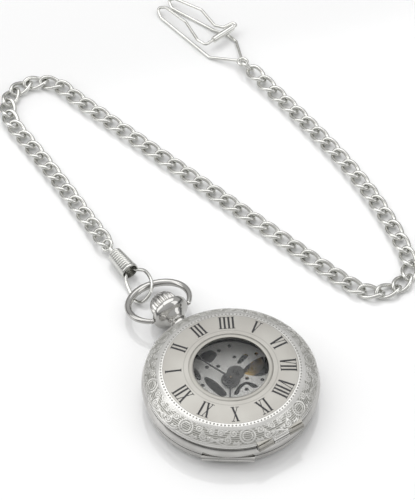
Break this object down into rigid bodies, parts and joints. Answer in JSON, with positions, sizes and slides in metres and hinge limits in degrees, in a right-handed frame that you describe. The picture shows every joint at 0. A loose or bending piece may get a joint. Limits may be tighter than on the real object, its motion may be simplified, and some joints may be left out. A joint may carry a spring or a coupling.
{
  "type": "pocket watch",
  "caption": "Double-cover pocket watch with a windowed, engraved front cover, a skeleton winding movement, a bow and a curb chain with a sleeve clasp and a wire clip.",
  "frame": {"origin": "centre of the back cover's flat face, on the axis of the hands", "axes": "+X along the winding stem at 3 o'clock, +Y towards 12 o'clock, +Z out of the dial"},
  "size_m": [0.1562, 0.1018, 0.0126],
  "materials": {
    "case_plating": "bright plated case metal",
    "steel": "fine-ground steel",
    "crystal": "clear polished glass",
    "movement_plate": "grained nickel plating",
    "gilt_brass": "gilt and fine-brushed",
    "hairspring_steel": "blued spring steel",
    "ruby": "polished synthetic ruby",
    "chapter_print": "dark satin",
    "black_hands": "black lacquer",
    "chain_plating": "bright plated wire"
  },
  "bodies": {
    "case": {"case_band": "case_plating", "pendant": "case_plating", "front_bezel": "case_plating", "front_crystal": "crystal", "back_bezel": "case_plating", "back_crystal": "crystal", "front_hinge_pin": "steel", "back_hinge_pin": "steel", "case_clamps": "case_plating", "latch_spring": "steel", "movement_ring": "movement_plate", "chapter_ring": "chapter_print", "main_plate": "movement_plate", "barrel_bridge": "movement_plate", "train_bridge": "movement_plate", "pallet_cock": "movement_plate", "balance_cock": "movement_plate", "bridge_screws": "steel", "jewels": "ruby"},
    "front_lid": {"front_cover": "case_plating", "window_bezel": "case_plating", "window_crystal": "crystal"},
    "back_lid": {"back_cover": "case_plating"},
    "clutch": {"sliding_clutch": "steel", "winding_pinion": "steel"},
    "winder": {"crown": "case_plating", "winding_stem": "steel"},
    "winding_wheel": {"crown_wheel": "steel"},
    "ratchet": {"ratchet_wheel": "steel", "barrel_arbor": "steel"},
    "pawl": {"click": "steel"},
    "barrel": {"mainspring_barrel": "gilt_brass", "mainspring": "steel"},
    "centre": {"centre_wheel": "gilt_brass", "cannon_pinion": "gilt_brass", "minute_hand": "black_hands"},
    "third": {"third_wheel": "gilt_brass"},
    "fourth": {"fourth_wheel": "gilt_brass", "seconds_hand": "black_hands"},
    "escape": {"escape_wheel": "steel"},
    "pallet": {"pallet_fork": "steel"},
    "balance": {"balance_wheel": "gilt_brass", "hairspring": "hairspring_steel"},
    "minute_works": {"minute_wheel": "gilt_brass"},
    "hour": {"hour_wheel": "gilt_brass", "hour_hand": "black_hands"},
    "bow_ring": {"bow": "case_plating"},
    "clasp": {"clasp_hook": "chain_plating", "clasp_spring": "steel"},
    "sleeve": {"clasp_sleeve": "chain_plating"},
    "run_1": {"chain_run_1": "chain_plating"},
    "run_2": {"chain_run_2": "chain_plating"},
    "run_3": {"chain_run_3": "chain_plating"},
    "run_4": {"chain_run_4": "chain_plating"},
    "run_5": {"chain_run_5": "chain_plating"},
    "run_6": {"chain_run_6": "chain_plating"},
    "end_ring": {"clip_ring": "chain_plating"},
    "clip": {"belt_clip": "chain_plating", "clip_tube": "chain_plating"}
  },
  "joints": [
    {"name": "front_lid_hinge", "type": "hinge", "parent": "case", "child": "front_lid", "pos_m": [-0.02275, 0, 0.00732], "axis": [0, -1, 0], "range_deg": [0, 100]},
    {"name": "back_lid_hinge", "type": "hinge", "parent": "case", "child": "back_lid", "pos_m": [-0.01841, 0.01337, 0.00337], "axis": [0.5878, 0.809, 0], "range_deg": [0, 95]},
    {"name": "crown_turn", "type": "hinge", "parent": "case", "child": "clutch", "pos_m": [0.0297, 0, 0.0054], "axis": [1, 0, 0], "continuous": true},
    {"name": "crown_pull", "type": "slide", "parent": "clutch", "child": "winder", "axis": [1, 0, 0], "range_m": [0, 0.001]},
    {"name": "winding_wheel_turn", "type": "hinge", "parent": "case", "child": "winding_wheel", "pos_m": [0.0126, 0, 0.0019], "axis": [0, 0, 1], "continuous": true},
    {"name": "ratchet_turn", "type": "hinge", "parent": "case", "child": "ratchet", "pos_m": [0.00382, -0.00663, 0.0019], "axis": [0, 0, 1], "continuous": true},
    {"name": "pawl_pivot", "type": "hinge", "parent": "case", "child": "pawl", "pos_m": [0.003, -0.01446, 0.0019], "axis": [0, 0, 1], "range_deg": [0, 10]},
    {"name": "seconds_turn", "type": "hinge", "parent": "case", "child": "fourth", "pos_m": [0, 0, 0.003], "axis": [0, 0, 1], "continuous": true},
    {"name": "third_turn", "type": "hinge", "parent": "case", "child": "third", "pos_m": [-0.00585, 0, 0.004], "axis": [0, 0, 1], "continuous": true},
    {"name": "minutes_turn", "type": "hinge", "parent": "case", "child": "centre", "pos_m": [0, 0, 0.005], "axis": [0, 0, 1], "continuous": true},
    {"name": "barrel_turn", "type": "hinge", "parent": "case", "child": "barrel", "pos_m": [0.00382, -0.00663, 0.004], "axis": [0, 0, 1], "continuous": true},
    {"name": "escape_turn", "type": "hinge", "parent": "case", "child": "escape", "pos_m": [0.00119, 0.0056, 0.0036], "axis": [0, 0, 1], "continuous": true},
    {"name": "minute_works_turn", "type": "hinge", "parent": "case", "child": "minute_works", "pos_m": [0.0015, -0.0026, 0.0063], "axis": [0, 0, 1], "continuous": true},
    {"name": "hours_turn", "type": "hinge", "parent": "case", "child": "hour", "pos_m": [0, 0, 0.0068], "axis": [0, 0, 1], "continuous": true},
    {"name": "balance_swing", "type": "hinge", "parent": "case", "child": "balance", "pos_m": [-0.00181, 0.01203, 0.0044], "axis": [0, 0, 1], "range_deg": [-25, 25], "stiffness_Nm_per_rad": 0.000001},
    {"name": "pallet_rock", "type": "hinge", "parent": "case", "child": "pallet", "pos_m": [-0.00008, 0.00831, 0.0036], "axis": [0, 0, 1], "range_deg": [-8, 8]},
    {"name": "bow_swing", "type": "hinge", "parent": "case", "child": "bow_ring", "pos_m": [0.0288, 0, 0.0054], "axis": [0, -1, 0], "range_deg": [-10, 50]},
    {"name": "clasp_swing", "type": "hinge", "parent": "bow_ring", "child": "clasp", "pos_m": [0.04198, 0, 0.00248], "axis": [0, -1, 0], "range_deg": [-95, 25]},
    {"name": "sleeve_slide", "type": "slide", "parent": "clasp", "child": "sleeve", "axis": [1, 0, 0], "range_m": [0, 0.0017], "stiffness_N_per_m": 20, "deforming": ["clasp_spring"]},
    {"name": "run_1_turn", "type": "hinge", "parent": "clasp", "child": "run_1", "pos_m": [0.06098, -0.0003, 0.0019], "axis": [0, 0, 1], "range_deg": [-5, 15]},
    {"name": "run_2_turn", "type": "hinge", "parent": "run_1", "child": "run_2", "pos_m": [0.11472, -0.00282, 0.00126], "axis": [0, 0, 1], "range_deg": [-3, 20]},
    {"name": "run_3_turn", "type": "hinge", "parent": "run_2", "child": "run_3", "pos_m": [0.11592, -0.02287, 0.00126], "axis": [0, 0, 1], "range_deg": [-3, 10]},
    {"name": "run_4_turn", "type": "hinge", "parent": "run_3", "child": "run_4", "pos_m": [0.06196, -0.03559, 0.00126], "axis": [0, 0, 1], "range_deg": [-5, 10]},
    {"name": "run_5_turn", "type": "hinge", "parent": "run_4", "child": "run_5", "pos_m": [0.01333, -0.0476, 0.00126], "axis": [0, 0, 1], "range_deg": [-8, 3]},
    {"name": "run_6_turn", "type": "hinge", "parent": "run_5", "child": "run_6", "pos_m": [0.01859, -0.06891, 0.00126], "axis": [0, 0, 1], "range_deg": [-5, 6]},
    {"name": "end_ring_turn", "type": "hinge", "parent": "run_6", "child": "end_ring", "pos_m": [0.0951, -0.07156, 0.0019], "axis": [0, 0, 1], "range_deg": [-3, 12]},
    {"name": "clip_turn", "type": "hinge", "parent": "end_ring", "child": "clip", "pos_m": [0.09729, -0.07139, 0.0022], "axis": [0, 0, 1], "range_deg": [-4, 4]}
  ],
  "couplings": [
    {"joint": "winding_wheel_turn", "follows": "crown_turn", "ratio": 0.41667},
    {"joint": "ratchet_turn", "follows": "crown_turn", "ratio": -0.30303},
    {"joint": "third_turn", "follows": "seconds_turn", "ratio": -0.13333},
    {"joint": "minutes_turn", "follows": "seconds_turn", "ratio": 0.016667},
    {"joint": "barrel_turn", "follows": "seconds_turn", "ratio": -0.0020833},
    {"joint": "escape_turn", "follows": "seconds_turn", "ratio": -10},
    {"joint": "minute_works_turn", "follows": "seconds_turn", "ratio": -0.0055556},
    {"joint": "hours_turn", "follows": "seconds_turn", "ratio": 0.0013889},
    {"joint": "pallet_rock", "follows": "balance_swing", "ratio": -0.224},
    {"joint": "clasp_swing", "follows": "bow_swing", "ratio": -1}
  ]
}
